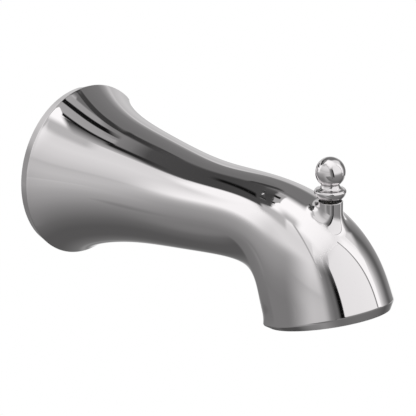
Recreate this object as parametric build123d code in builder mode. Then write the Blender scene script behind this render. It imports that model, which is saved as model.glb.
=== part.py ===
from build123d import *
from math import isclose
import os

os.makedirs("parts", exist_ok=True)

# Bath spout with a lift diverter, in millimetres.
# The wall is the plane X = 0, the spout reaches out along +X, and it is the same on both sides of Y = 0.
# A reach is a distance from the wall, and a height is measured from the level centreline of the neck.

# Centreline of the casting: level from the wall, one arc down, then a short straight run to the lip
rod_reach = 150.6  # of the lift rod, which stands over the outlet
rod_lead = 41.2  # how far the rod stands past the start of the arc
bend_radius = 41.5
lip_turn = 74.6  # degrees turned down at the lip
lip_run = 2.3

# Outside of the casting: its round sections square to the centreline, from the wall to the lip
rim_depth = 4.5
flare_diameter = 76.0
rim_undercut = 1.4  # how far the rim draws in towards the wall
rim_round = 0.5
throat_reach = 13.0
throat_diameter = 66.5
taper_reach = 26.0
taper_diameter = 57.6
neck_reach = 46.0
neck_diameter = 49.4
waist_reach = 88.0
waist_diameter = 40.5
shoulder_turn = 20.0
shoulder_diameter = 44.3
crown_turn = 44.0
crown_diameter = 51.9
skirt_turn = 64.0
skirt_diameter = 55.7
lip_diameter = 57.6

# Outlet: a bevel runs from the lip down to a face that leans a little less
face_turn = 78.1
bevel_depth = 2.3
bevel_inset = 2.1
lip_break = 0.3

# Hollow of the casting and the walls that divide it
wall = 2.8
mouth_wall = 2.6
outlet_wall = 1.2
web_reach = 60.0
web_thickness = 4.0
floor_thickness = 2.2
partition_thickness = 2.2
partition_round = 4.0
overshoot = 2.0  # how far a cut runs past the face that it opens

# Boss for the lift rod, on top of the nose
boss_height = 17.6
boss_diameter = 11.2
boss_fillet = 4.5
gland_height = 5.0  # lower face of the thicker ceiling round the rod
gland_diameter = 13.0

# Lift rod with its bushing and its seal
rod_diameter = 5.0
rod_clearance = 0.05
rod_hole_diameter = 5.6
bushing_recess = 0.8
bushing_flange_diameter = 10.2
bushing_flange_thickness = 1.2
bushing_diameter = 8.4
bushing_length = 5.5
bushing_clearance = 0.02
rod_seal_section = 1.6

# Knob on the rod: a ball over a coved collar
knob_gap = 0.8
ball_diameter = 13.3
ball_height = 12.2  # of its centre above the foot of the collar
ball_neck_diameter = 8.0
cove_radius = 2.6
collar_diameter = 14.0
collar_edge_height = 3.4
collar_shoulder_diameter = 12.0
collar_shoulder_height = 4.7
collar_foot_diameter = 10.2
collar_belly = 0.35  # how far the collar's side swells past a straight taper
rod_grip = 9.0
rod_grip_clearance = 0.05

# Gate: a moulded plate with a rubber face, which slides up behind the window in the partition
lift = 10.0
window_width = 15.0
window_height = 8.0
window_drop = 6.0  # of its centre below the centreline
gate_width = 21.0
gate_height = 12.0
gate_thickness = 3.0
gate_offset = 3.4  # of its back from the rod's axis, clear of the nut
gate_corner = 2.5
gate_guide_clearance = 0.4
gate_floor_clearance = 0.3
guide_rib_width = 2.0
guide_rib_depth = 7.0
washer_width = 18.6
washer_height = 10.0
washer_thickness = 1.8
washer_inset = 0.8
washer_corner = 2.0
washer_pocket_clearance = 0.1
washer_clearance = 0.3
hub_diameter = 7.0
hub_height = 7.0
spigot_diameter = 3.2
spigot_clearance = 0.05
spigot_end = 0.5  # how far it shows below the nut
nut_width = 5.5
nut_thickness = 2.0

# Slip adapter: a brass sleeve for the copper tube, with its spigot in the web
tube_diameter = 15.88
adapter_bore_diameter = 16.1
adapter_back = 24.0
clamp_length = 16.0
clamp_diameter = 30.0
sleeve_diameter = 25.0
flange_diameter = 32.0
flange_thickness = 4.0
spigot_seat_diameter = 24.0
spigot_seat_clearance = 0.1
adapter_nose = 3.0  # of the spigot past the web
tube_stop_diameter = 13.5
tube_stop_length = 5.0
adapter_edge = 0.6
tube_seal_groove = 2.05
tube_seal_width = 2.6
tube_seal_reach = 44.5
tube_seal_pitch = 6.0
web_seal_diameter = 28.0
web_seal_section = 1.8
web_seal_clearance = 0.05

# Set screw through the thick end of the adapter, turned from below
screw_diameter = 6.0
screw_clearance = 0.05
screw_length = 6.0
screw_socket_width = 3.0
screw_socket_depth = 3.0
screw_point = 1.2
screw_hole_diameter = 8.0

# Worked out from the sizes above
bend_reach = rod_reach - rod_lead
rod_axis = Axis((rod_reach, 0, 0), (0, 0, 1))
rod_plane = Plane(origin=(rod_reach, 0, 0), x_dir=(1, 0, 0), z_dir=(0, -1, 0))
knob_foot = boss_height + knob_gap
bushing_top = boss_height - bushing_recess
bushing_foot = bushing_top - bushing_flange_thickness - bushing_length
gate_centre = -window_drop - lift
gate_top = gate_centre + gate_height / 2
gate_face = rod_reach + gate_offset + gate_thickness
washer_face = gate_face - washer_inset + washer_thickness
partition_back = washer_face + washer_clearance
partition_middle = partition_back + partition_thickness / 2
partition_front = partition_back + partition_thickness
floor_top = gate_centre - gate_height / 2 - gate_floor_clearance
screw_reach = adapter_back + clamp_length / 2
adapter_front = web_reach + web_thickness + adapter_nose


def straight_plane(reach):
    return Plane(origin=(reach, 0, 0), x_dir=(0, 1, 0), z_dir=(1, 0, 0))


def bend_plane(turn):
    heading = Vector(1, 0, 0).rotate(Axis.Y, turn)
    spoke = Vector(0, 0, bend_radius).rotate(Axis.Y, turn)
    return Plane(origin=Vector(bend_reach, 0, -bend_radius) + spoke, x_dir=(0, 1, 0), z_dir=heading)


lip_plane = bend_plane(lip_turn).offset(lip_run)


def outlet_plane(depth):
    past_lip = lip_plane.offset(depth).origin
    return Plane(origin=past_lip, x_dir=(0, 1, 0), z_dir=Vector(1, 0, 0).rotate(Axis.Y, face_turn))


# Round sections of the casting, outside and inside
outside_sections = [
    (straight_plane(rim_depth), flare_diameter),
    (straight_plane(throat_reach), throat_diameter),
    (straight_plane(taper_reach), taper_diameter),
    (straight_plane(neck_reach), neck_diameter),
    (straight_plane(waist_reach), waist_diameter),
    (bend_plane(shoulder_turn), shoulder_diameter),
    (bend_plane(crown_turn), crown_diameter),
    (bend_plane(skirt_turn), skirt_diameter),
    (lip_plane, lip_diameter),
]
inside_sections = [(plane, diameter - 2 * wall) for plane, diameter in outside_sections]
mouth_diameter = flare_diameter - 2 * (rim_undercut + mouth_wall)
inside_sections[0] = (straight_plane(-overshoot), mouth_diameter)
outlet_diameter = lip_diameter - 2 * (bevel_inset + outlet_wall)
inside_sections.append((outlet_plane(bevel_depth + overshoot), outlet_diameter))

# Hollow of the casting, less the walls that divide it
with BuildPart() as hollow:
    for plane, diameter in inside_sections:
        with BuildSketch(plane):
            Circle(diameter / 2)
    loft()
    # Web across the neck
    with BuildSketch(straight_plane(web_reach)):
        Circle(flare_diameter)
    extrude(amount=web_thickness, mode=Mode.SUBTRACT)
    # Floor of the chamber and the partition at its front, as one bent wall
    with BuildSketch(Plane.XZ) as chamber_wall:
        with BuildLine():
            Polyline(
                (bend_reach, floor_top),
                (partition_back, floor_top),
                (partition_back, boss_height),
                (partition_front, boss_height),
                (partition_front, floor_top - floor_thickness),
                (bend_reach, floor_top - floor_thickness),
                close=True,
            )
        make_face()
        fillet(chamber_wall.vertices().group_by(Axis.Y)[0].sort_by(Axis.X)[-1], partition_round)
    extrude(amount=lip_diameter, both=True, mode=Mode.SUBTRACT)
    # Guide ribs on both sides of the gate
    with BuildSketch(Plane.XY.offset(floor_top - floor_thickness / 2)):
        for side in (-1, 1):
            rib_middle = gate_width / 2 + gate_guide_clearance + guide_rib_width / 2
            with Locations((partition_middle, side * rib_middle)):
                Rectangle(
                    guide_rib_depth + partition_thickness / 2,
                    guide_rib_width,
                    align=(Align.MAX, Align.CENTER),
                )
    extrude(amount=boss_height - floor_top, mode=Mode.SUBTRACT)
    # Thicker ceiling round the rod
    with BuildSketch(Plane.XY.offset(gland_height)):
        with Locations((rod_reach, 0)):
            Circle(gland_diameter / 2)
    extrude(amount=boss_height, mode=Mode.SUBTRACT)

# Spout: one casting with flare, neck, nose and boss
with BuildPart() as spout_body:
    for plane, diameter in outside_sections:
        with BuildSketch(plane):
            Circle(diameter / 2)
    loft()
    # Rim that narrows towards the wall
    with BuildSketch(straight_plane(0)):
        Circle(flare_diameter / 2 - rim_undercut)
    with BuildSketch(straight_plane(rim_depth)):
        Circle(flare_diameter / 2)
    loft(ruled=True)
    # Bevel from the lip to the face of the outlet
    with BuildSketch(lip_plane):
        Circle(lip_diameter / 2)
    with BuildSketch(outlet_plane(bevel_depth)):
        Circle(lip_diameter / 2 - bevel_inset)
    loft(ruled=True)
    # Edge of the flare, rounded, and edge of the lip, broken
    round_edges = spout_body.edges().filter_by(GeomType.BSPLINE).filter_by(lambda edge: edge.is_closed)
    fillet(round_edges.sort_by(Axis.X)[0], rim_round)
    round_edges = spout_body.edges().filter_by(GeomType.BSPLINE).filter_by(lambda edge: edge.is_closed)
    chamfer(round_edges.sort_by(Axis.X)[-1], lip_break)
    # Boss, blended into the nose
    with BuildSketch(Plane.XY):
        with Locations((rod_reach, 0)):
            Circle(boss_diameter / 2)
    extrude(amount=boss_height)
    fillet(spout_body.edges(Select.LAST).filter_by(GeomType.BSPLINE), boss_fillet)
    add(hollow.part, mode=Mode.SUBTRACT)
    # Seat of the adapter in the web
    with BuildSketch(straight_plane(web_reach - overshoot)):
        Circle(spigot_seat_diameter / 2 + spigot_seat_clearance)
    extrude(amount=web_thickness + 2 * overshoot, mode=Mode.SUBTRACT)
    # Window in the partition, behind which the gate slides
    with BuildSketch(straight_plane(partition_back - overshoot)):
        with Locations((0, -window_drop)):
            SlotOverall(window_width, window_height)
    extrude(amount=partition_thickness + 2 * overshoot, mode=Mode.SUBTRACT)
    # Stepped hole down through the boss
    with BuildSketch(rod_plane):
        with BuildLine():
            seal_foot = bushing_foot - rod_seal_section
            Polyline(
                (0, gland_height - overshoot),
                (rod_hole_diameter / 2, gland_height - overshoot),
                (rod_hole_diameter / 2, seal_foot),
                (bushing_diameter / 2, seal_foot),
                (bushing_diameter / 2, bushing_top - bushing_flange_thickness),
                (bushing_flange_diameter / 2, bushing_top - bushing_flange_thickness),
                (bushing_flange_diameter / 2, boss_height + overshoot),
                (0, boss_height + overshoot),
                close=True,
            )
        make_face()
    revolve(axis=rod_axis, mode=Mode.SUBTRACT)
    # Hole for the key of the set screw, in the underside
    with BuildSketch(Plane.XY.offset(-flare_diameter / 2)):
        with Locations((screw_reach, 0)):
            Circle(screw_hole_diameter / 2)
    extrude(amount=flare_diameter / 2 - clamp_diameter / 2, mode=Mode.SUBTRACT)
spout_body.part.label = "spout_body"

# Bushing in the boss
with BuildPart() as rod_bushing:
    with BuildSketch(rod_plane):
        with BuildLine():
            rod_bore = rod_diameter / 2 + rod_clearance
            body_radius = bushing_diameter / 2 - bushing_clearance
            flange_radius = bushing_flange_diameter / 2 - bushing_clearance
            Polyline(
                (rod_bore, bushing_foot),
                (body_radius, bushing_foot),
                (body_radius, bushing_top - bushing_flange_thickness),
                (flange_radius, bushing_top - bushing_flange_thickness),
                (flange_radius, bushing_top),
                (rod_bore, bushing_top),
                close=True,
            )
        make_face()
    revolve(axis=rod_axis)
rod_bushing.part.label = "rod_bushing"

# Seal round the rod, below the bushing
with BuildPart() as rod_o_ring:
    with BuildSketch(rod_plane):
        seal_radius = (rod_diameter + rod_seal_section) / 2 + rod_clearance
        with Locations((seal_radius, bushing_foot - rod_seal_section / 2)):
            Circle(rod_seal_section / 2)
    revolve(axis=rod_axis)
rod_o_ring.part.label = "rod_o_ring"

# Knob: collar, cove and ball turned in one piece, with a blind hole for the rod
with BuildPart() as diverter_knob:
    with BuildSketch(rod_plane):
        with BuildLine():
            foot = (collar_foot_diameter / 2, knob_foot)
            edge = (collar_diameter / 2, knob_foot + collar_edge_height)
            shoulder = (collar_shoulder_diameter / 2, knob_foot + collar_shoulder_height)
            ball_drop = ((ball_diameter / 2) ** 2 - (ball_neck_diameter / 2) ** 2) ** 0.5
            neck = (ball_neck_diameter / 2, knob_foot + ball_height - ball_drop)
            top = (0, knob_foot + ball_height + ball_diameter / 2)
            Line((0, knob_foot), foot)
            SagittaArc(foot, edge, collar_belly)
            SagittaArc(edge, shoulder, collar_belly)
            RadiusArc(shoulder, neck, cove_radius)
            RadiusArc(neck, top, -ball_diameter / 2)
            Line(top, (0, knob_foot))
        make_face()
    revolve(axis=rod_axis)
    with BuildSketch(Plane.XY.offset(knob_foot)):
        with Locations((rod_reach, 0)):
            Circle(rod_diameter / 2 + rod_grip_clearance)
    extrude(amount=rod_grip, mode=Mode.SUBTRACT)
diverter_knob.part.label = "diverter_knob"

# Lift rod, from inside the knob to a thin spigot through the gate's hub
with BuildPart() as lift_rod:
    with BuildSketch(Plane.XY.offset(gate_top)):
        with Locations((rod_reach, 0)):
            Circle(rod_diameter / 2)
    extrude(amount=knob_foot + rod_grip - gate_top)
    with BuildSketch(Plane.XY.offset(gate_top)):
        with Locations((rod_reach, 0)):
            Circle(spigot_diameter / 2)
    extrude(amount=-(hub_height + nut_thickness + spigot_end))
lift_rod.part.label = "lift_rod"

# Gate: plate, hub and a pocket for the washer
with BuildPart() as diverter_gate:
    with BuildSketch(straight_plane(gate_face)):
        with Locations((0, gate_centre)):
            RectangleRounded(gate_width, gate_height, gate_corner)
    extrude(amount=-gate_thickness)
    with BuildSketch(Plane.XY.offset(gate_top)):
        with Locations((rod_reach, 0)):
            Circle(hub_diameter / 2)
            Rectangle(gate_offset + gate_thickness, hub_diameter, align=(Align.MIN, Align.CENTER))
    extrude(amount=-hub_height)
    with BuildSketch(straight_plane(gate_face)):
        with Locations((0, gate_centre)):
            RectangleRounded(
                washer_width + 2 * washer_pocket_clearance,
                washer_height + 2 * washer_pocket_clearance,
                washer_corner + washer_pocket_clearance,
            )
    extrude(amount=-washer_inset, mode=Mode.SUBTRACT)
    with BuildSketch(Plane.XY.offset(gate_top)):
        with Locations((rod_reach, 0)):
            Circle(spigot_diameter / 2 + spigot_clearance)
    extrude(amount=-gate_height, mode=Mode.SUBTRACT)
diverter_gate.part.label = "diverter_gate"

# Rubber face of the gate
with BuildPart() as gate_washer:
    with BuildSketch(straight_plane(gate_face - washer_inset)):
        with Locations((0, gate_centre)):
            RectangleRounded(washer_width, washer_height, washer_corner)
    extrude(amount=washer_thickness)
gate_washer.part.label = "gate_washer"

# Nut under the hub
with BuildPart() as rod_nut:
    with BuildSketch(Plane.XY.offset(gate_top - hub_height)):
        with Locations((rod_reach, 0)):
            RegularPolygon(nut_width / 2, 6, major_radius=False)
            Circle(spigot_diameter / 2 + spigot_clearance, mode=Mode.SUBTRACT)
    extrude(amount=-nut_thickness)
rod_nut.part.label = "rod_nut"

# Slip adapter, turned in brass
with BuildPart() as slip_adapter:
    with BuildSketch(Plane.XZ):
        with BuildLine():
            Polyline(
                (adapter_back, adapter_bore_diameter / 2),
                (adapter_back, clamp_diameter / 2),
                (adapter_back + clamp_length, clamp_diameter / 2),
                (adapter_back + clamp_length, sleeve_diameter / 2),
                (web_reach - flange_thickness, sleeve_diameter / 2),
                (web_reach - flange_thickness, flange_diameter / 2),
                (web_reach, flange_diameter / 2),
                (web_reach, spigot_seat_diameter / 2),
                (adapter_front, spigot_seat_diameter / 2),
                (adapter_front, tube_stop_diameter / 2),
                (adapter_front - tube_stop_length, tube_stop_diameter / 2),
                (adapter_front - tube_stop_length, adapter_bore_diameter / 2),
                close=True,
            )
        make_face()
        # Grooves for the seals round the tube, and for the seal against the web
        for reach in (tube_seal_reach, tube_seal_reach + tube_seal_pitch):
            with Locations((reach, adapter_bore_diameter / 2)):
                Rectangle(tube_seal_width, 2 * tube_seal_groove, mode=Mode.SUBTRACT)
        with Locations((web_reach, web_seal_diameter / 2)):
            seal_room = web_seal_section + web_seal_clearance
            Rectangle(2 * seal_room, seal_room, mode=Mode.SUBTRACT)
    revolve(axis=Axis.X)
    turned_edges = slip_adapter.edges().filter_by(GeomType.CIRCLE)
    chamfer(turned_edges.filter_by(lambda edge: isclose(edge.radius, clamp_diameter / 2)), adapter_edge)
    with BuildSketch(Plane.XY.offset(-clamp_diameter / 2 - overshoot)):
        with Locations((screw_reach, 0)):
            Circle(screw_diameter / 2 + screw_clearance)
    extrude(amount=clamp_diameter / 2 + overshoot, mode=Mode.SUBTRACT)
slip_adapter.part.label = "slip_adapter"

# Seals round the tube, as they sit when it is in place
with BuildPart() as tube_o_rings:
    seal_outside = adapter_bore_diameter / 2 + tube_seal_groove - web_seal_clearance
    seal_section = seal_outside - tube_diameter / 2
    with BuildSketch(Plane.XZ):
        for reach in (tube_seal_reach, tube_seal_reach + tube_seal_pitch):
            with Locations((reach, seal_outside - seal_section / 2)):
                Circle(seal_section / 2)
    revolve(axis=Axis.X)
tube_o_rings.part.label = "tube_o_rings"

# Seal between the adapter and the web
with BuildPart() as adapter_o_ring:
    with BuildSketch(Plane.XZ):
        with Locations((web_reach - web_seal_clearance - web_seal_section / 2, web_seal_diameter / 2)):
            Circle(web_seal_section / 2)
    revolve(axis=Axis.X)
adapter_o_ring.part.label = "adapter_o_ring"

# Set screw with a hexagon socket at its lower end and a cone at the tube
with BuildPart() as set_screw:
    screw_tip = -adapter_bore_diameter / 2
    with BuildSketch(Plane.XY.offset(screw_tip)):
        with Locations((screw_reach, 0)):
            Circle(screw_diameter / 2)
    extrude(amount=-screw_length)
    chamfer(set_screw.edges().sort_by(Axis.Z)[-1], screw_point)
    with BuildSketch(Plane.XY.offset(screw_tip - screw_length)):
        with Locations((screw_reach, 0)):
            RegularPolygon(screw_socket_width / 2, 6, major_radius=False)
    extrude(amount=screw_socket_depth, mode=Mode.SUBTRACT)
set_screw.part.label = "set_screw"

pieces = [
    spout_body,
    rod_bushing,
    rod_o_ring,
    diverter_knob,
    lift_rod,
    diverter_gate,
    gate_washer,
    rod_nut,
    slip_adapter,
    tube_o_rings,
    adapter_o_ring,
    set_screw,
]
for piece in pieces:
    export_step(piece.part, f"parts/{piece.part.label}.step")
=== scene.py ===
import math
import bmesh
import bpy
import numpy as np
from mathutils import Matrix, Vector


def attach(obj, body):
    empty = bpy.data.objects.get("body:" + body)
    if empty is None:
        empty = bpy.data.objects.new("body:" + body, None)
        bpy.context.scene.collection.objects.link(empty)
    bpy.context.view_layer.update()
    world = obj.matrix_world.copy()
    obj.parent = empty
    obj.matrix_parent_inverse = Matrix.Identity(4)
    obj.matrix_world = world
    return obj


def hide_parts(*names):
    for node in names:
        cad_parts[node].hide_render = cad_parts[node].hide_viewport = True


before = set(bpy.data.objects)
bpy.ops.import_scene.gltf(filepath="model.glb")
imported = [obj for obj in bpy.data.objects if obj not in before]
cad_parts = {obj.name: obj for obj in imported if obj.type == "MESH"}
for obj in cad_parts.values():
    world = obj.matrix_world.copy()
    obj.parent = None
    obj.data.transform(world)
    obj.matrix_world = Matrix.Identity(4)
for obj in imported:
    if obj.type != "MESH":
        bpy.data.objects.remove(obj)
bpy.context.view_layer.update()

mm = 0.001
scene = bpy.context.scene
scene.view_settings.view_transform = "Standard"


def hexColour(code):  # sRGB hex to linear RGBA
    parts = [int(code[i:i + 2], 16) / 255 for i in (0, 2, 4)]
    return [c / 12.92 if c <= 0.04045 else ((c + 0.055) / 1.055) ** 2.4 for c in parts] + [1.0]


def addNode(tree, kind, settings=None, links=None):
    node = tree.nodes.new("ShaderNode" + kind)
    for key, value in (settings or {}).items():
        if key == "stops":
            ramp = node.color_ramp.elements
            while len(ramp) < len(value):
                ramp.new(1.0)
            for stop, (place, code) in zip(ramp, value):
                stop.position, stop.color = place, hexColour(code)
        elif key in node.inputs:
            node.inputs[key].default_value = value
        else:
            setattr(node, key, value)
    for key, source in (links or {}).items():
        tree.links.new(source, node.inputs[key])
    return node


def newMaterial(name):
    material = bpy.data.materials.new(name)
    material.use_nodes = True
    material.node_tree.nodes.clear()
    return material, material.node_tree


def dress(node, material):
    node.data.materials.clear()
    node.data.materials.append(material)


# Chrome plate on a buffed casting: a clear mirror, with a faint haze that varies over a few millimetres
chromePlate, tree = newMaterial("chromePlateBuffed")
place = addNode(tree, "TexCoord")
haze = addNode(tree, "TexNoise", {"Scale": 1 / (9 * mm), "Detail": 3.0}, {"Vector": place.outputs["Object"]})
rough = addNode(tree, "MapRange", {"To Min": 0.02, "To Max": 0.05}, {"Value": haze.outputs["Fac"]})
shader = addNode(tree, "BsdfPrincipled", {"Base Color": hexColour("E8E5E6"), "Metallic": 1.0},
                 {"Roughness": rough.outputs["Result"]})
addNode(tree, "OutputMaterial", links={"Surface": shader.outputs["BSDF"]})

# Zinc, die cast and left as it came from the mould: dull grey, with a soft mottle
zincCasting, tree = newMaterial("zincDieCast")
place = addNode(tree, "TexCoord")
mottle = addNode(tree, "TexNoise", {"Scale": 1 / (3 * mm), "Detail": 5.0}, {"Vector": place.outputs["Object"]})
rough = addNode(tree, "MapRange", {"To Min": 0.38, "To Max": 0.55}, {"Value": mottle.outputs["Fac"]})
tone = addNode(tree, "ValToRGB", {"stops": [(0.3, "B6B6B7"), (0.7, "CDCDCC")]}, {"Fac": mottle.outputs["Fac"]})
shader = addNode(tree, "BsdfPrincipled", {"Metallic": 1.0},
                 {"Roughness": rough.outputs["Result"], "Base Color": tone.outputs["Color"]})
addNode(tree, "OutputMaterial", links={"Surface": shader.outputs["BSDF"]})

# Acetal, moulded black: a smooth waxy plastic with a low satin shine
blackAcetal, tree = newMaterial("blackAcetalMoulded")
place = addNode(tree, "TexCoord")
grain = addNode(tree, "TexNoise", {"Scale": 1 / (0.5 * mm), "Detail": 2.0}, {"Vector": place.outputs["Object"]})
rough = addNode(tree, "MapRange", {"To Min": 0.35, "To Max": 0.55}, {"Value": grain.outputs["Fac"]})
shader = addNode(tree, "BsdfPrincipled", {"Base Color": hexColour("1A1A1A"), "IOR": 1.48},
                 {"Roughness": rough.outputs["Result"]})
addNode(tree, "OutputMaterial", links={"Surface": shader.outputs["BSDF"]})
dress(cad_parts["rod_bushing"], blackAcetal)

# Acetal, moulded in its natural white: a little milky, with a faint flow mottle
whiteAcetal, tree = newMaterial("whiteAcetalMoulded")
place = addNode(tree, "TexCoord")
flow = addNode(tree, "TexNoise", {"Scale": 1 / (2.5 * mm), "Detail": 3.0}, {"Vector": place.outputs["Object"]})
rough = addNode(tree, "MapRange", {"To Min": 0.34, "To Max": 0.5}, {"Value": flow.outputs["Fac"]})
tone = addNode(tree, "ValToRGB", {"stops": [(0.35, "DCD9CF"), (0.65, "E6E4DC")]}, {"Fac": flow.outputs["Fac"]})
shader = addNode(tree, "BsdfPrincipled", {"IOR": 1.48},
                 {"Roughness": rough.outputs["Result"], "Base Color": tone.outputs["Color"]})
addNode(tree, "OutputMaterial", links={"Surface": shader.outputs["BSDF"]})
dress(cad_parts["diverter_gate"], whiteAcetal)

# Nitrile rubber, moulded: black and nearly matt, with a fine skin
nitrileRubber, tree = newMaterial("nitrileRubberMoulded")
place = addNode(tree, "TexCoord")
grain = addNode(tree, "TexNoise", {"Scale": 1 / (0.3 * mm), "Detail": 2.0}, {"Vector": place.outputs["Object"]})
rough = addNode(tree, "MapRange", {"To Min": 0.55, "To Max": 0.75}, {"Value": grain.outputs["Fac"]})
bump = addNode(tree, "Bump", {"Strength": 0.3, "Distance": 0.02 * mm}, {"Height": grain.outputs["Fac"]})
shader = addNode(tree, "BsdfPrincipled", {"Base Color": hexColour("1C1C1D"), "IOR": 1.52},
                 {"Roughness": rough.outputs["Result"], "Normal": bump.outputs["Normal"]})
addNode(tree, "OutputMaterial", links={"Surface": shader.outputs["BSDF"]})
for name in ("rod_o_ring", "gate_washer", "tube_o_rings", "adapter_o_ring"):
    dress(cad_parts[name], nitrileRubber)

# Turned metals: fine rings from the tool, with its feed of 0.1 mm drawn three times coarser so that it shows
turnedMetals = {
    "stainlessSteelTurned": {"colour": "C8C5C0", "rough": (0.22, 0.34), "rings": "Z",
                             "nodes": ("lift_rod", "rod_nut", "set_screw")},
    "brassTurned": {"colour": "D9B970", "rough": (0.2, 0.32), "rings": "X",
                    "nodes": ("slip_adapter",)},
}
feedDrawn = 0.3 * mm
waveRepeat = math.pi / 10  # the wave texture's own length of one ring
for name, metal in turnedMetals.items():
    turnedMetal, tree = newMaterial(name)
    place = addNode(tree, "TexCoord")
    rings = addNode(tree, "TexWave",
                    {"bands_direction": metal["rings"], "Scale": waveRepeat / feedDrawn, "Distortion": 0.6},
                    {"Vector": place.outputs["Object"]})
    rough = addNode(tree, "MapRange", {"To Min": metal["rough"][0], "To Max": metal["rough"][1]},
                    {"Value": rings.outputs["Fac"]})
    bump = addNode(tree, "Bump", {"Strength": 0.25, "Distance": 0.01 * mm}, {"Height": rings.outputs["Fac"]})
    shader = addNode(tree, "BsdfPrincipled", {"Base Color": hexColour(metal["colour"]), "Metallic": 1.0},
                     {"Roughness": rough.outputs["Result"], "Normal": bump.outputs["Normal"]})
    addNode(tree, "OutputMaterial", links={"Surface": shader.outputs["BSDF"]})
    for piece in metal["nodes"]:
        dress(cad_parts[piece], turnedMetal)
print("materials ready")

# Casting: flare, neck and nose in one fine skin through the solid's own sections, so that reflections run clean
casting = {
    "bendReach": 109.4, "bendRadius": 41.5,
    "straight": [(4.5, 76.0), (13.0, 66.5), (26.0, 57.6), (46.0, 49.4), (88.0, 40.5)],  # reach and diameter
    "turned": [(20.0, 44.3), (44.0, 51.9), (64.0, 55.7)],  # degrees down and diameter
    "lip": (74.6, 2.3, 57.6),  # degrees down, straight run and diameter
    "rimUndercut": 1.4, "rimRound": 0.5,
    "faceTurn": 78.1, "bevelDepth": 2.3, "bevelInset": 2.1, "lipBreak": 0.3,
    "rows": 190, "columns": 240, "sharpAngle": 28,
}
boss = {
    "reach": 150.6, "radius": 5.6, "height": 17.6, "edge": 0.12,
    "fillet": (4.5, 11.5),  # radius of the blend behind and in front
    "window": 14.5, "patchRings": 10, "filletRings": 14,
}


def sectionsOf(plan, thinner=0.0):  # middle x, middle z, radius, and the x and z of the spoke that points up
    rows = [(reach, 0.0, d / 2 - thinner, 0.0, d / 2 - thinner) for reach, d in plan["straight"]]
    for turn, run, d in [(t, 0.0, d) for t, d in plan["turned"]] + [plan["lip"]]:
        s, c, r = math.sin(math.radians(turn)), math.cos(math.radians(turn)), d / 2 - thinner
        middle = plan["bendReach"] + plan["bendRadius"] * s + run * c
        rows.append((middle, plan["bendRadius"] * (c - 1) - run * s, r, r * s, r * c))
    return rows


def fitSkin(rows):  # one polynomial for each column of the sections, paced by how far apart they lie
    turns = np.radians(np.arange(0, 360, 10))
    rings = [np.stack([x + upX * np.sin(turns), r * np.cos(turns), z + upZ * np.sin(turns)])
             for x, z, r, upX, upZ in rows]
    steps = np.cumsum([0] + [np.linalg.norm(a - b) for a, b in zip(rings, rings[1:])])
    return np.linalg.solve(np.vander(2 * steps / steps[-1] - 1), np.array(rows)).T


def unit(v):
    return v / np.linalg.norm(v, axis=-1, keepdims=True)


def onSkin(skin, along, around):
    x, z, r, upX, upZ = (np.polyval(column, 2 * along - 1) for column in skin)
    return np.stack([x + upX * np.sin(around), r * np.cos(around), z + upZ * np.sin(around)], -1)


def skinNormal(skin, along, around, step=1e-4):
    lengthwise = onSkin(skin, along + step, around) - onSkin(skin, along - step, around)
    roundwise = onSkin(skin, along, around + step) - onSkin(skin, along, around - step)
    return unit(np.cross(roundwise, lengthwise))


skin = fitSkin(sectionsOf(casting))
around = np.radians(np.arange(casting["columns"]) * 360 / casting["columns"])
spokes = np.stack([0 * around, np.cos(around), np.sin(around)], -1)
lengthStep = 1e-4

# Rim: a small round between the flare and the undercut behind it
rimEdge = np.array([casting["straight"][0][0], casting["straight"][0][1] / 2])
forward = onSkin(skin, lengthStep, 0.0)[:2] - onSkin(skin, 0.0, 0.0)[:2]
toNeck = unit(forward)
toWall = unit(np.array([-rimEdge[0], -casting["rimUndercut"]]))
rimHalf = math.acos(toNeck @ toWall) / 2
tangent = casting["rimRound"] / math.tan(rimHalf)
rimStart = tangent / np.linalg.norm(forward) * lengthStep
core = rimEdge + unit(toNeck + toWall) * casting["rimRound"] / math.sin(rimHalf)
fromNeck, fromWall = rimEdge + toNeck * tangent - core, rimEdge + toWall * tangent - core
rimProfile = []
for k in range(1, 7):
    rimSpoke = unit(fromNeck * (1 - k / 6) + fromWall * k / 6)
    rimProfile.append(core + rimSpoke * casting["rimRound"])
wallPoint = np.array([0.0, rimEdge[1] - casting["rimUndercut"]])
rimProfile += [rimProfile[-1] * (1 - k / 3) + wallPoint * k / 3 for k in (1, 2, 3)]
rimRings = [np.array([x, 0, 0]) + spokes * r for x, r in rimProfile]

# Lip: broken edge, then the bevel down to the face of the outlet
lipEdge = onSkin(skin, 1.0, around)
lipPace = np.linalg.norm(lipEdge - onSkin(skin, 1 - lengthStep, around), axis=-1) / lengthStep
lipEnd = 1 - casting["lipBreak"] / lipPace
lipTurn, faceTurn = math.radians(casting["lip"][0]), math.radians(casting["faceTurn"])
lipMiddle = np.array([np.polyval(skin[0], 1.0), 0, np.polyval(skin[1], 1.0)])
heading = np.array([math.cos(lipTurn), 0, -math.sin(lipTurn)])
faceX, faceZ = math.sin(faceTurn), math.cos(faceTurn)
faceSpokes = np.stack([faceX * np.sin(around), np.cos(around), faceZ * np.sin(around)], -1)
outletRadius = casting["lip"][2] / 2 - casting["bevelInset"]
outletEdge = lipMiddle + heading * casting["bevelDepth"] + faceSpokes * outletRadius
bevelTop = lipEdge + unit(outletEdge - lipEdge) * casting["lipBreak"]
lipRings = [bevelTop * (1 - k) + outletEdge * k for k in (0, 0.06, 0.5, 0.94, 1)]

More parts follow.
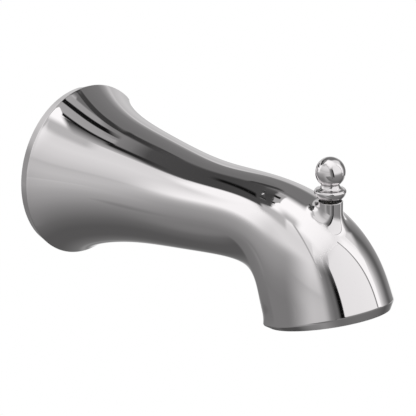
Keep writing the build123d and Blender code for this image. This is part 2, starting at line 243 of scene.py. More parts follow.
# Boss: a ball rolls round its foot, touching the skin and the side, or the rim where the nose is high
rowShares = np.append(np.linspace(0, 1, casting["rows"] - 1)[:-1], [0.9995, 1])[:, None]  # last two close
along = rimStart + (lipEnd[None, :] - rimStart) * rowShares
grid = onSkin(skin, along, np.broadcast_to(around, along.shape))
axisX = boss["reach"]
near = (np.hypot(grid[..., 0] - axisX, grid[..., 1]) < boss["window"]) & (grid[..., 2] > 0)
i0, i1 = np.where(near.any(1))[0][[0, -1]]
j0, j1 = np.where(near.any(0))[0][[0, -1]]
frameLoop = [(i0, j) for j in range(j0, j1)] + [(i, j1) for i in range(i0, i1)]
frameLoop += [(i1, j) for j in range(j1, j0, -1)] + [(i, j0) for i in range(i1, i0, -1)]
loopI, loopJ = np.array(frameLoop).T
corner = grid[loopI, loopJ]
bossTurns = np.arctan2(corner[:, 1], corner[:, 0] - axisX)
behind, inFront = boss["fillet"]
roll = behind + (inFront - behind) * ((1 + np.cos(bossTurns)) / 2) ** 2
rimLevel = boss["height"] - 2 * boss["edge"]
start = np.stack([along[loopI, loopJ], around[loopJ]], -1)
spot = start


def ballCentre(spot):
    v, a = spot.T
    return onSkin(skin, v, a) + skinNormal(skin, v, a) * roll[:, None]


def ballMiss(spot):  # how far the ball is from touching the boss too
    centre = ballCentre(spot)
    lift = (centre[:, 2] - rimLevel).clip(0, 0.99 * roll)
    away = boss["radius"] + np.sqrt(roll ** 2 - lift ** 2)
    return centre[:, :2] - np.stack([axisX + np.cos(bossTurns) * away, np.sin(bossTurns) * away], -1)


for trial in range(30):  # Newton's steps to where the ball touches both
    miss = ballMiss(spot)
    slopes = [(ballMiss(spot + d) - ballMiss(spot - d)) / 2e-5 for d in ((1e-5, 0), (0, 1e-5))]
    spot = spot - np.linalg.solve(np.stack(slopes, -1), miss[..., None])[..., 0].clip(-0.05, 0.05)
ball = ballCentre(spot)
footSkin = onSkin(skin, *spot.T)
footBoss = np.stack([axisX + np.cos(bossTurns) * boss["radius"], np.sin(bossTurns) * boss["radius"],
                     ball[:, 2].clip(max=rimLevel)], -1)
bossRings = []
for k in range(1, boss["patchRings"] + 1):
    share = k / boss["patchRings"]
    bossRings.append(onSkin(skin, *(start * (1 - share) + spot * share).T))
fromSkin, fromBoss = unit(footSkin - ball), unit(footBoss - ball)
gap = np.arccos((fromSkin * fromBoss).sum(-1, keepdims=True))
for k in range(1, boss["filletRings"] + 1):
    share = k / boss["filletRings"]
    spoke = (np.sin((1 - share) * gap) * fromSkin + np.sin(share * gap) * fromBoss) / np.sin(gap)
    bossRings.append(ball + roll[:, None] * spoke)
bossCircle = np.stack([np.cos(bossTurns), np.sin(bossTurns), 0 * bossTurns], -1)
for r, z in ((0, -boss["edge"]), (-boss["edge"], 0)):
    bossRings.append(np.array([axisX, 0, boss["height"] + z]) + bossCircle * (boss["radius"] + r))
print("boss blend ready")


def ringMesh(rings, verts=(), faces=(), first=None):  # rings of points joined by quads, with free ends capped
    verts, faces, previous = list(verts), list(faces), first
    for ring in rings:
        ids = list(range(len(verts), len(verts) + len(ring)))
        verts.extend(ring)
        if previous is None:
            faces.append(ids)
        else:
            faces.extend((previous[k], previous[k - 1], ids[k - 1], ids[k]) for k in range(len(ids)))
        previous = ids
    return verts, faces + [previous]


def closedPiece(name, verts, faces, material):
    mesh = bpy.data.meshes.new(name)
    mesh.from_pydata([Vector(v) * mm for v in verts], [], [[int(k) for k in f] for f in faces])
    shape = bmesh.new()
    shape.from_mesh(mesh)
    bmesh.ops.delete(shape, geom=[v for v in shape.verts if not v.link_faces], context="VERTS")
    bmesh.ops.recalc_face_normals(shape, faces=shape.faces)
    shape.to_mesh(mesh)
    shape.free()
    mesh.materials.append(material)
    piece = bpy.data.objects.new(name, mesh)
    scene.collection.objects.link(piece)
    return piece


index = np.arange(grid.shape[0] * grid.shape[1]).reshape(grid.shape[:2])
verts, faces = list(grid.reshape(-1, 3)), []
for i in range(casting["rows"] - 1):
    for j in range(casting["columns"]):
        if not (i0 <= i < i1 and j0 <= j < j1):
            k = (j + 1) % casting["columns"]
            faces.append((index[i, j], index[i, k], index[i + 1, k], index[i + 1, j]))
for rings, first in ((rimRings, index[0]), (lipRings, index[-1]), (bossRings, index[loopI, loopJ])):
    verts, faces = ringMesh(rings, verts, faces, list(first))
spoutCasting = closedPiece("spoutCasting", verts, faces, chromePlate)

# Hollow: the same sections, thinner by the wall, then the walls that divide it
hollowPlan = {
    "wall": 2.8, "mouth": (-2.0, 34.0), "outletRadius": 25.5, "overrun": 2.0, "rings": 110,
    "web": (60.0, 64.0), "webReach": 45.0, "wallReach": 57.6, "seatRadius": 12.1,
    "floorTop": -22.3, "floorBottom": -24.5, "partition": (158.3, 160.5), "corner": 4.0,
    "ribs": {"x": (151.3, 159.4), "y": (10.9, 12.9), "z": (-23.4, 16.5)},
    "gland": (6.5, 5.0),  # radius and lower face
    "window": {"width": 15.0, "height": 8.0, "z": -6.0},
    "rodHole": [(2.8, 3.0), (2.8, 8.5), (4.2, 8.5), (4.2, 15.6), (5.1, 15.6), (5.1, 19.6)],  # radius and height
    "screwHole": {"x": 32.0, "radius": 4.0, "z": (-40.0, -15.0)},
}
hollowRows = sectionsOf(casting, hollowPlan["wall"])
mouthX, mouthRadius = hollowPlan["mouth"]
hollowRows[0] = (mouthX, 0.0, mouthRadius, 0.0, mouthRadius)
below = lipMiddle + heading * (casting["bevelDepth"] + hollowPlan["overrun"])
endRadius = hollowPlan["outletRadius"]
upX, upZ = endRadius * math.sin(faceTurn), endRadius * math.cos(faceTurn)
hollowRows.append((below[0], below[2], endRadius, upX, upZ))
hollowSkin = fitSkin(hollowRows)
inner = around[::2]
hollowRings = [onSkin(hollowSkin, v, inner) for v in np.linspace(0, 1, hollowPlan["rings"])]


def discRings(centre, axis, radius, ends, count=96):  # two rings of a cylinder along one axis
    turn = np.arange(count) * 2 * math.pi / count
    rings = []
    for end in ends:
        ring = np.zeros((count, 3))
        ring[:, axis] = end
        ring[:, (axis + 1) % 3] = centre[(axis + 1) % 3] + radius * np.cos(turn)
        ring[:, (axis + 2) % 3] = centre[(axis + 2) % 3] + radius * np.sin(turn)
        rings.append(ring)
    return rings


overrun = hollowPlan["overrun"]
webBack, webFront = hollowPlan["web"]
webRings = discRings((0, 0, 0), 0, hollowPlan["webReach"], hollowPlan["web"])
seatRings = discRings((0, 0, 0), 0, hollowPlan["seatRadius"], (webBack - overrun, webFront + overrun))
backFace, frontFace = hollowPlan["partition"]
floorTop, floorBottom, cornerRadius = (hollowPlan[key] for key in ("floorTop", "floorBottom", "corner"))
cornerBend = [(frontFace - cornerRadius * (1 - math.sin(a)), floorBottom + cornerRadius * (1 - math.cos(a)))
              for a in np.radians(np.arange(0, 91, 9))]
wallProfile = [(casting["bendReach"], floorTop), (backFace, floorTop), (backFace, boss["height"]),
               (frontFace, boss["height"]), *cornerBend[::-1], (casting["bendReach"], floorBottom)]
wallSides = (-hollowPlan["wallReach"], hollowPlan["wallReach"])
wallRings = [np.array([(x, y, z) for x, z in wallProfile]) for y in wallSides]
ribs = hollowPlan["ribs"]
ribRings = []
for sideY in ((-ribs["y"][1], -ribs["y"][0]), ribs["y"]):
    outline = [(ribs["x"][i], sideY[j]) for i, j in ((0, 0), (1, 0), (1, 1), (0, 1))]
    ribRings.append([np.array([(x, y, z) for x, y in outline]) for z in ribs["z"]])
glandRadius, glandFace = hollowPlan["gland"]
glandRings = discRings((boss["reach"], 0, 0), 2, glandRadius, (glandFace, glandFace + boss["height"]))
opening = hollowPlan["window"]
slotArc = np.radians(np.arange(-90, 91, 7.5))
slotSide = np.cos(slotArc) * opening["height"] / 2 + (opening["width"] - opening["height"]) / 2
slotY = np.concatenate([slotSide, -slotSide])
slotZ = np.concatenate([np.sin(slotArc), -np.sin(slotArc)]) * opening["height"] / 2 + opening["z"]
slotRings = [np.stack([0 * slotY + x, slotY, slotZ], -1) for x in (backFace - overrun, frontFace + overrun)]
holeRings = [discRings((boss["reach"], 0, 0), 2, r, (z,))[0] for r, z in hollowPlan["rodHole"]]
screw = hollowPlan["screwHole"]
screwRings = discRings((screw["x"], 0, 0), 2, screw["radius"], screw["z"])


def cutAway(piece, cutters):
    for cutter in cutters:
        bite = piece.modifiers.new(cutter.name, "BOOLEAN")
        bite.operation = "DIFFERENCE"
        bite.solver = "MANIFOLD"
        bite.material_mode = "TRANSFER"
        bite.object = cutter
    graph = bpy.context.evaluated_depsgraph_get()
    finished = bpy.data.meshes.new_from_object(piece.evaluated_get(graph))
    piece.modifiers.clear()
    piece.data = finished
    for cutter in cutters:
        bpy.data.objects.remove(cutter)


def zincPieces(shapes):
    return [closedPiece(name, *ringMesh(rings), zincCasting) for name, rings in shapes.items()]


hollowWalls = {"web": webRings, "chamberWall": wallRings, "ribLeft": ribRings[0], "ribRight": ribRings[1],
               "gland": glandRings}
castingCuts = {"seat": seatRings, "window": slotRings, "rodHole": holeRings, "screwHole": screwRings}
hollow = zincPieces({"hollow": hollowRings})
cutAway(hollow[0], zincPieces(hollowWalls))
cutAway(spoutCasting, hollow + zincPieces(castingCuts))
spoutCasting.data.shade_smooth()
spoutCasting.data.set_sharp_from_angle(angle=math.radians(casting["sharpAngle"]))
print("casting", len(spoutCasting.data.polygons), "faces")
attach(spoutCasting, "spout")
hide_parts("spout_body")

# Knob: ball, cove and collar turned in one piece over the rod, with its edges a little rounded by the buffing
knob = {
    "foot": 18.9, "footRadius": 5.1, "belly": 0.35,
    "collarEdge": (7.0, 2.9), "collarShoulder": (6.0, 4.2),  # radius and height above the foot
    "coveRadius": 2.6, "neckRadius": 4.0, "ballRadius": 6.65, "ballHeight": 11.7,
    "hole": (2.55, 8.5),  # radius and depth
    "buffed": 0.22, "columns": 144, "sharpAngle": 50,
}


def arcBetween(start, end, swell, count):  # from start to end, swelling to the right of the way by that much
    start, end = np.array(start), np.array(end)
    chord = end - start
    half = np.linalg.norm(chord) / 2
    radius = (half ** 2 + swell ** 2) / (2 * abs(swell))
    outward = np.array([chord[1], -chord[0]]) / (2 * half) * math.copysign(1, swell)
    core = (start + end) / 2 + outward * (abs(swell) - radius)
    spread = math.asin(half / radius)
    steps = np.linspace(-spread, spread, count)[:, None]
    return core + radius * (np.cos(steps) * outward + np.sin(steps) * chord / (2 * half))


def roundCorner(before, after, radius, count=5):  # two stretches that meet, with a small round between them
    a = before[-1] - unit(before[-1] - before[-2]) * radius
    b = after[0] + unit(after[1] - after[0]) * radius
    kept = [p for p in before if np.linalg.norm(p - before[-1]) > radius]
    steps = np.linspace(0, 1, count)[:, None]
    bend = (1 - steps) ** 2 * a + 2 * steps * (1 - steps) * before[-1] + steps ** 2 * b
    return np.array(kept + list(bend) + [p for p in after if np.linalg.norm(p - before[-1]) > radius])


ballDrop = math.sqrt(knob["ballRadius"] ** 2 - knob["neckRadius"] ** 2)
ballMiddle = knob["foot"] + knob["ballHeight"]
footPoint = (knob["footRadius"], knob["foot"])
edgePoint, shoulderPoint = ((r, knob["foot"] + z) for r, z in (knob["collarEdge"], knob["collarShoulder"]))
neckPoint = (knob["neckRadius"], ballMiddle - ballDrop)
coveHalf = math.dist(shoulderPoint, neckPoint) / 2
coveDepth = knob["coveRadius"] - math.sqrt(knob["coveRadius"] ** 2 - coveHalf ** 2)
holeRadius, holeTop = knob["hole"][0], knob["foot"] + knob["hole"][1]
underside = np.array([(0.01, holeTop), (holeRadius, holeTop), (holeRadius, knob["foot"]),
                      (knob["footRadius"] - 1, knob["foot"]), footPoint])
knobProfile = roundCorner(underside, arcBetween(footPoint, edgePoint, knob["belly"], 10), knob["buffed"])
knobProfile = roundCorner(knobProfile, arcBetween(edgePoint, shoulderPoint, knob["belly"], 6), knob["buffed"])
knobProfile = roundCorner(knobProfile, arcBetween(shoulderPoint, neckPoint, -coveDepth, 14), knob["buffed"])
ballTurn = np.linspace(-math.asin(ballDrop / knob["ballRadius"]), math.pi / 2 - 0.002, 60)
ballArc = np.stack([np.cos(ballTurn), np.sin(ballTurn)], -1) * knob["ballRadius"] + (0, ballMiddle)
knobProfile = roundCorner(knobProfile, ballArc, knob["buffed"])
knobTurns = np.radians(np.arange(knob["columns"]) * 360 / knob["columns"])
knobCircle = np.stack([np.cos(knobTurns), np.sin(knobTurns), 0 * knobTurns], -1)
knobRings = [np.array([boss["reach"], 0, z]) + knobCircle * r for r, z in knobProfile]
liftKnob = closedPiece("liftKnob", *ringMesh(knobRings), chromePlate)
liftKnob.data.shade_smooth()
liftKnob.data.set_sharp_from_angle(angle=math.radians(knob["sharpAngle"]))
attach(liftKnob, "diverter")
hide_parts("diverter_knob")
print("knob", len(liftKnob.data.polygons), "faces")

# Camera at the photograph's viewing angle
cameraView = {
    "azimuth": 43.288,
    "elevation": 18.134,
    "distance": 3000.0,
    "pixelsPerMm": 2.287,
    "imageSize": 416,
    "target": (75.0, 0.0, -5.0),
    "offset": (2.613, 2.275),  # of the view's middle, to the right and up
    "sensor": 36.0,
}
azimuth, elevation = (math.radians(cameraView[key]) for key in ("azimuth", "elevation"))
flat = math.cos(elevation)
back = Vector((math.sin(azimuth) * flat, -math.cos(azimuth) * flat, math.sin(elevation)))
right = Vector((math.cos(azimuth), math.sin(azimuth), 0))
above = back.cross(right)
camera = bpy.data.objects.new("camera", bpy.data.cameras.new("camera"))
camera.data.sensor_width = cameraView["sensor"]
camera.data.lens = (cameraView["sensor"] * cameraView["pixelsPerMm"] * cameraView["distance"]
                    / cameraView["imageSize"])
middle = Vector(cameraView["target"]) + right * cameraView["offset"][0] + above * cameraView["offset"][1]
turned = Matrix((right, above, back)).transposed().to_4x4()
camera.matrix_world = Matrix.Translation((middle + back * cameraView["distance"]) * mm) @ turned
scene.collection.objects.link(camera)
scene.camera = camera

# White world for the eye and for mirrors, a soft grey fill for the rest
world = bpy.data.worlds.new("studio")
scene.world = world
world.use_nodes = True
tree = world.node_tree
tree.nodes.clear()
path = addNode(tree, "LightPath")
seen = addNode(tree, "Math", {"operation": "MAXIMUM"},
               {0: path.outputs["Is Camera Ray"], 1: path.outputs["Is Glossy Ray"]})
seenToo = addNode(tree, "Math", {"operation": "MAXIMUM"},
                  {0: seen.outputs[0], 1: path.outputs["Is Transmission Ray"]})
fill = addNode(tree, "Background", {"Color": hexColour("FFFFFF"), "Strength": 0.5})
white = addNode(tree, "Background", {"Color": hexColour("FFFFFF"), "Strength": 1.0})
mixed = addNode(tree, "MixShader", links={"Fac": seenToo.outputs[0], 1: fill.outputs[0], 2: white.outputs[0]})
addNode(tree, "OutputWorld", links={"Surface": mixed.outputs[0]})

# Studio cards: what the chrome mirrors, in millimetres, with the grey that each shows in the plate
plateMirrors = 0.80


def mirrorOnly(card):
    for ray in ("camera", "diffuse", "transmission", "volume_scatter", "shadow"):
        setattr(card, "visible_" + ray, False)


def onDome(centre, bearings, elevations, distance, lean=0.0):  # top corners turned by the lean
    corners = []
    for bearing, rise in ((0, 0), (1, 0), (1, 1), (0, 1)):
        b, e = math.radians(bearings[bearing] + lean * rise), math.radians(elevations[rise])
        ray = Vector((math.cos(b) * math.cos(e), math.sin(b) * math.cos(e), math.sin(e)))
        corners.append(Vector(centre) + ray * distance)
    return corners


def overhead(xs, ys, height):
    return [(xs[i], ys[j], height) for i, j in ((0, 0), (1, 0), (1, 1), (0, 1))]


def addCard(name, corners, stops, along="X", soft=((0, 0), (0, 0))):
    corners = [Vector(corner) for corner in corners]
    mesh = bpy.data.meshes.new(name)
    mesh.from_pydata([corner * mm for corner in corners], [], [(0, 1, 2, 3)])
    uv = mesh.uv_layers.new(name="card")
    for loop, spot in enumerate(((0, 0), (1, 0), (1, 1), (0, 1))):
        uv.data[loop].uv = spot
    card = bpy.data.objects.new(name, mesh)
    scene.collection.objects.link(card)
    material, tree = newMaterial(name)
    place = addNode(tree, "TexCoord")
    axes = addNode(tree, "SeparateXYZ", links={"Vector": place.outputs["UV"]})
    ramp = addNode(tree, "ValToRGB", {"stops": stops}, {"Fac": axes.outputs[along]})
    glow = addNode(tree, "Emission", {"Strength": 1 / plateMirrors}, {"Color": ramp.outputs["Color"]})
    surface = glow.outputs[0]
    spans = {"X": (corners[1] - corners[0]).length, "Y": (corners[3] - corners[0]).length}
    for axis, widths in zip("XY", soft):
        for side, width in enumerate(widths):
            if width:
                share = width / spans[axis]
                ends = {"From Min": 1.0, "From Max": 1 - share} if side else {"From Max": share}
                fade = addNode(tree, "MapRange", {"interpolation_type": "SMOOTHSTEP", "From Min": 0.0, **ends},
                               {"Value": axes.outputs[axis]})
                clear = addNode(tree, "BsdfTransparent")
                mixed = addNode(tree, "MixShader",
                                links={"Fac": fade.outputs[0], 1: clear.outputs[0], 2: surface})
                surface = mixed.outputs[0]
    addNode(tree, "OutputMaterial", links={"Surface": surface})
    mesh.materials.append(material)
    mirrorOnly(card)


# Light tent: a dome that darkens towards the floor
tentRadius = 2400.0
tentGreys = [  # degrees up
    (-90, "505050"), (-60, "646464"), (-40, "828282"), (-20, "A7A7A7"), (-5, "B6B6B6"),
    (5, "C0C0C0"), (11, "BCBCBC"), (16, "B6B6B6"), (19, "C2C2C2"), (30, "CFCFCF"),
    (42, "D8D8D8"), (55, "D4D4D4"), (70, "DEDEDE"), (90, "ECECEC"),
]
bpy.ops.mesh.primitive_uv_sphere_add(segments=64, ring_count=32, radius=tentRadius * mm)
tent = bpy.context.object
tent.name = "lightTent"
material, tree = newMaterial("lightTent")
place = addNode(tree, "TexCoord")
ray = addNode(tree, "VectorMath", {"operation": "NORMALIZE"}, {"Vector": place.outputs["Object"]})
axes = addNode(tree, "SeparateXYZ", links={"Vector": ray.outputs["Vector"]})
rise = addNode(tree, "Math", {"operation": "ARCSINE"}, {0: axes.outputs["Z"]})
share = addNode(tree, "MapRange", {"From Min": -math.pi / 2, "From Max": math.pi / 2},
                {"Value": rise.outputs[0]})
tentStops = [((e + 90) / 180, code) for e, code in tentGreys]
ramp = addNode(tree, "ValToRGB", {"stops": tentStops}, {"Fac": share.outputs[0]})
glow = addNode(tree, "Emission", {"Strength": 1 / plateMirrors}, {"Color": ramp.outputs["Color"]})
addNode(tree, "OutputMaterial", links={"Surface": glow.outputs[0]})
tent.data.materials.append(material)
mirrorOnly(tent)

# Sweep below, white behind, with the spout's shadow painted into it as greys: darkest under the neck, paler
# towards the front
sweep = {
    "height": -120.0, "towards": (0.6, -0.8), "span": (-900.0, 1300.0), "half": 1500.0,
    "greys": [  # millimetres forward
        (-900, "F6F6F6"), (-330, "F4F4F4"), (-238, "DCDCDC"), (-136, "9C9C9C"), (-82, "6B6B6B"),
        (-20, "545454"), (25, "545454"), (56, "626262"), (85, "727272"), (131, "858585"),
        (160, "8F8F8F"), (216, "9B9B9B"), (320, "A6A6A6"), (480, "B2B2B2"), (1300, "C2C2C2"),
    ],
}
forth = Vector((*sweep["towards"], 0))
across = Vector((-forth.y, forth.x, 0))
level = Vector((0, 0, sweep["height"]))
sweepCorners = [forth * sweep["span"][j] + across * (sweep["half"] * i) + level
                for i, j in ((-1, 0), (1, 0), (1, 1), (-1, 1))]
sweepBack, sweepFront = sweep["span"]
sweepStops = [((d - sweepBack) / (sweepFront - sweepBack), code) for d, code in sweep["greys"]]
addCard("shadowedSweep", sweepCorners, sweepStops, along="Y")
addCard("sweepRight", overhead((185, 1500), (-500, 800), -118),
        [(0, "606060"), (0.04, "666666"), (0.09, "747474"), (0.17, "7A7A7A"), (0.28, "828282"),
         (0.5, "929292"), (0.75, "A6A6A6"), (1, "BABABA")], soft=((60, 200), (100, 100)))
addCard("sweepLeft", overhead((-900, -58), (-330, 140), -117),
        [(0, "949494"), (0.62, "909090"), (0.83, "767676"), (1, "6E6E6E")], soft=((0, 24), (120, 50)))
# painted shadow of the nose on the sweep, under the lip
addCard("shadowUnderLip", overhead((78, 203), (-60, 30), -116),
        [(0, "4A4A4A"), (1, "4E4E4E")], soft=((20, 25), (20, 20)))
addCard("sweepStrip", ((324, -121, -115.5), (600, -300, -115.5), (612, -278, -115.5), (336, -99, -115.5)),
        [(0, "505050"), (1, "464646")], soft=((20, 60), (6, 6)))
addCard("rearWall", ((-420, -300, -300), (-420, 250, -300), (-420, 250, 140), (-420, -300, 140)),
        [(0, "909090"), (1, "8A8A8A")], soft=((120, 120), (0, 100)))

# Rig overhead: softbox over the nose, dark rails over the flare and the neck
addCard("rearPanel", overhead((-250, 150), (35, 560), 210),
        [(0, "6C6C6C"), (0.18, "6E6E6E"), (0.45, "787878"), (0.6, "909090"), (0.8, "ACACAC"),
         (1, "C0C0C0")], along="Y", soft=((30, 60), (0, 180)))
addCard("knobRear", ((10, 92, 58), (130, 92, 58), (130, 92, 205), (10, 92, 205)),
        [(0, "747474"), (1, "707070")], soft=((30, 20), (20, 0)))
addCard("overheadSoftbox", overhead((20, 335), (-118, 80), 207),
        [(0, "FCFCFC"), (0.4, "FAFAFA"), (1, "E8E8E8")], soft=((5, 140), (45, 55)))
addCard("softboxSeam", overhead((-40, 92), (-170, -64), 206.5),
        [(0, "B4B4B4"), (1, "B4B4B4")], soft=((20, 18), (40, 34)))
addCard("railPanel", overhead((-95, 57), (-20, 60), 206),
        [(0, "6C6C6C"), (0.34, "7C7C7C"), (0.42, "989898"), (1, "A2A2A2")], soft=((3, 4), (0, 10)))
addCard("railPanelEnd", ((-61, -50, 206), (33, -50, 206), (53, -20, 206), (-41, -20, 206)),
        [(0, "989898"), (1, "A2A2A2")], soft=((3, 3), (0, 0)))
addCard("railShade", ((-72, -102, 205.7), (18, -102, 205.7), (48, -48, 205.7), (-42, -48, 205.7)),
        [(0, "B4B4B4"), (0.4, "909090"), (0.75, "606060"), (1, "2A2A2A")], along="Y",
        soft=((3, 22), (8, 0)))
addCard("darkRailFront", ((-46, -63, 205), (43, -46, 205), (43, -28, 205), (-46, -45, 205)),
        [(0, "0C0C0C"), (1, "101010")], soft=((6, 4), (6, 6)))
addCard("darkRailBack", ((-46, -6, 205), (50, 4, 205), (50, 26, 205), (-46, 25, 205)),
        [(0, "101010"), (1, "141414")], soft=((9, 3), (6, 5)))
addCard("darkRailRear", ((-64, 36, 205), (30, 86, 205), (30, 120, 205), (-64, 84, 205)),
        [(0, "343434"), (1, "404040")], soft=((14, 6), (8, 7)))
addCard("neckRailFront", overhead((19, 50), (-28.5, -20.5), 55),
        [(0, "141414"), (0.4, "202020"), (1, "404040")], soft=((3, 14), (3, 2.5)))
addCard("neckRailBack", overhead((19, 44), (-2, 10), 55.1),
        [(0, "303030"), (1, "404040")], soft=((3, 12), (4, 3)))
addCard("neckCore", ((56, -13, 54.9), (92, -26, 54.9), (92, -13, 54.9), (56, -2, 54.9)),
        [(0, "101010"), (1, "0C0C0C")], soft=((8, 3), (4, 5)))
addCard("neckShade", ((22, -31, 55.2), (97, -39, 55.2), (97, 10, 55.2), (22, 13, 55.2)),
        [(0, "808080"), (0.1, "707070"), (0.2, "484848"), (0.5, "404040"), (1, "464646")],
        soft=((2, 5), (4, 7)))
addCard("seamNear", overhead((84, 150), (-62, -20), 119),
        [(0, "B4B4B4"), (1, "B4B4B4")], soft=((26, 24), (10, 30)))
addCard("seamFar", ((105, -90, 204), (420, -305, 204), (420, -285, 204), (105, -70, 204)),
        [(0, "A6A6A6"), (1, "A6A6A6")], soft=((20, 20), (7, 7)))

# Lamp head that hangs behind the knob: a dark ring round a small bright bulb
lampHead = {
    "place": (75.0, -12.0, 89.0), "faces": (125.0, -3.0, 22.0), "radius": 19.0, "squash": 0.8,
    "dents": 9.0, "dentDepth": 16.0,  # size and depth of the dents in its rings
    "rings": [(0, "F4F4F4"), (0.08, "D0D0D0"), (0.14, "4A4A4A"), (0.5, "404040"), (0.68, "181818"),
              (0.8, "202020"), (0.88, "6C6C6C"), (0.94, "343434"), (1, "5A5A5A")],
}
lampPlace = Vector(lampHead["place"])
bpy.ops.mesh.primitive_circle_add(vertices=64, radius=lampHead["radius"] * mm, fill_type="NGON",
                                  location=lampPlace * mm)
lampDisc = bpy.context.object
lampDisc.name = "lampHead"
lampDisc.scale.y = lampHead["squash"]
lampDisc.rotation_euler = (Vector(lampHead["faces"]) - lampPlace).to_track_quat("Z", "Y").to_euler()
material, tree = newMaterial("lampHead")
place = addNode(tree, "TexCoord")
dents = addNode(tree, "TexNoise", {"Scale": 1 / (lampHead["dents"] * mm), "Detail": 1.0},
                {"Vector": place.outputs["Object"]})
dentDepth = lampHead["dentDepth"] * mm
moved = addNode(tree, "Mapping", {"Location": (-dentDepth / 2, -dentDepth / 2, 0)},
                {"Vector": place.outputs["Object"]})
bent = addNode(tree, "VectorMath", {"operation": "MULTIPLY_ADD"},
               {0: dents.outputs["Color"], 2: moved.outputs["Vector"]})
bent.inputs[1].default_value = (dentDepth, dentDepth, 0)
off = addNode(tree, "VectorMath", {"operation": "LENGTH"}, {"Vector": bent.outputs["Vector"]})
share = addNode(tree, "MapRange", {"From Max": lampHead["radius"] * mm}, {"Value": off.outputs["Value"]})
ramp = addNode(tree, "ValToRGB", {"stops": lampHead["rings"]}, {"Fac": share.outputs[0]})
glow = addNode(tree, "Emission", {"Strength": 1 / plateMirrors}, {"Color": ramp.outputs["Color"]})
addNode(tree, "OutputMaterial", links={"Surface": glow.outputs[0]})
lampDisc.data.materials.append(material)
mirrorOnly(lampDisc)
addCard("lampArm", ((50, -54, 90.5), (92, -40, 90.5), (92, 24, 90.5), (50, 26, 90.5)),
        [(0, "4C4C4C"), (0.3, "424242"), (0.6, "3E3E3E"), (0.85, "4C4C4C"), (1, "5C5C5C")], along="Y",
        soft=((5, 6), (7, 10)))
addCard("armShade", ((50, -30, 89.7), (70, -36, 89.7), (70, -4, 89.7), (50, 2, 89.7)),
        [(0, "101010"), (1, "0C0C0C")], soft=((4, 2), (4, 12)))

# Cards that stand round the spout
addCard("leftSoftbox", onDome((150, 0, 30), (-166, -138), (4, 46), 700),
        [(0, "F6F6F6"), (1, "F6F6F6")], soft=((90, 80), (80, 120)))
addCard("highPanel", onDome((150, 0, 10), (-58, 66), (36, 84), 1300),
        [(0, "E4E4E4"), (1, "EAEAEA")], soft=((300, 300), (350, 300)))
addCard("frontPanel", onDome((150, 0, 10), (-28, 66), (-4, 58), 900),
        [(0, "E0E0E0"), (0.5, "E4E4E4"), (1, "ECECEC")], soft=((4, 20), (170, 260)))
# painted shade: a soft darker band across the front panel
addCard("panelShadeBand", onDome((150, 0, 10), (-40, 44), (31, 53), 880),
        [(0, "B0B0B0"), (1, "C8C8C8")], soft=((120, 360), (130, 130)))
addCard("panelGlow", onDome((150, 0, 10), (-29, -11), (-2, 42), 870),
        [(0, "FCFCFC"), (1, "F0F0F0")], soft=((10, 160), (120, 200)))
addCard("frontFlag", onDome((150, 0, 10), (-50.5, -12.5), (-30, 50), 520, -19),
        [(0, "B4B4B4"), (0.3, "9C9C9C"), (0.45, "808080"), (0.63, "686868"), (1, "606060")],
        soft=((120, 3), (120, 180)))
addCard("flagEdge", onDome((150, 0, 10), (-18.7, -7.7), (-50, 46), 500, -23),
        [(0, "606060"), (0.3, "3C3C3C"), (0.42, "080808"), (0.68, "0C0C0C"), (0.8, "404040"),
         (1, "7C7C7C")], along="Y", soft=((36, 3), (160, 130)))
addCard("greyLine", onDome((150, 0, 0), (47.8, 51.4), (-7, 57), 480, -15),
        [(0, "7A7A7A"), (1, "848484")], soft=((9, 9), (20, 14)))
addCard("whiteStrip", onDome((150, 0, 0), (50.2, 70), (-6, 56), 500, -15),
        [(0, "FAFAFA"), (1, "F4F4F4")], soft=((4, 40), (60, 100)))
addCard("darkFlag", onDome((150, 0, 0), (52, 116), (-30, 32), 490, 5),
        [(0, "E8E8E8"), (0.11, "CACACA"), (0.21, "A4A4A4"), (0.3, "878787"), (0.39, "646464"),
         (0.45, "585858"), (0.5, "5E5E5E"), (0.56, "707070"), (0.73, "868686"), (1, "9C9C9C")],
        soft=((30, 80), (60, 90)))
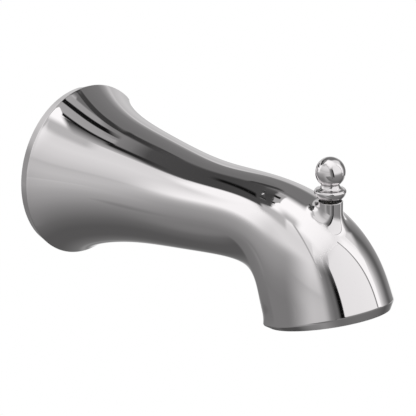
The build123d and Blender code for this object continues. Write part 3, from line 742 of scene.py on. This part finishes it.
addCard("leftGlow", ((22, -73, 12), (100, -73, 12), (100, -73, 115), (22, -73, 115)),
        [(0, "F6F6F6"), (1, "F0F0F0")], soft=((24, 46), (24, 40)))
addCard("noseFlag", ((4, -72, -143), (182, -72, -112), (182, -72, 58), (4, -72, 27)),
        [(0, "787878"), (0.56, "777777"), (0.65, "7E7E7E"), (0.735, "8B8B8B"), (0.825, "969696"),
         (0.91, "AAAAAA"), (1, "C8C8C8")], along="Y", soft=((46, 58), (0, 24)))
print("studio cards ready")

# Floor: pale to the eye from above, clear from below
floorLevel = -300.0
bpy.ops.mesh.primitive_plane_add(size=40, location=(0, 0, floorLevel * mm))
floor = bpy.context.object
floor.name = "floor"
material, tree = newMaterial("paleFloor")
path = addNode(tree, "LightPath")
matt = addNode(tree, "BsdfDiffuse", {"Color": hexColour("E8E8E8")})
glow = addNode(tree, "Emission", {"Color": hexColour("FFFFFF"), "Strength": 1.0})
eye = addNode(tree, "Math", {"operation": "MAXIMUM"},
              {0: path.outputs["Is Camera Ray"], 1: path.outputs["Is Glossy Ray"]})
mixed = addNode(tree, "MixShader", links={"Fac": eye.outputs[0], 1: matt.outputs[0], 2: glow.outputs[0]})
side = addNode(tree, "NewGeometry")
clear = addNode(tree, "BsdfTransparent")
faced = addNode(tree, "MixShader",
                links={"Fac": side.outputs["Backfacing"], 1: mixed.outputs[0], 2: clear.outputs[0]})
addNode(tree, "OutputMaterial", links={"Surface": faced.outputs[0]})
floor.data.materials.append(material)

# Soft lamps for what isn't metal
lampPlan = {
    "key": {"place": (350, -500, 600), "size": 500, "watts": 6.0},
    "side": {"place": (-300, -500, 300), "size": 500, "watts": 3.0},
}
lampsAimAt = Vector((100, 0, 0))
for name, lamp in lampPlan.items():
    light = bpy.data.lights.new(name, "AREA")
    light.size = lamp["size"] * mm
    light.energy = lamp["watts"]
    lampObject = bpy.data.objects.new(name, light)
    lampObject.location = Vector(lamp["place"]) * mm
    way = lampsAimAt * mm - lampObject.location
    lampObject.rotation_euler = way.to_track_quat("-Z", "Y").to_euler()
    lampObject.visible_glossy = False
    scene.collection.objects.link(lampObject)
print("floor and lamps ready")
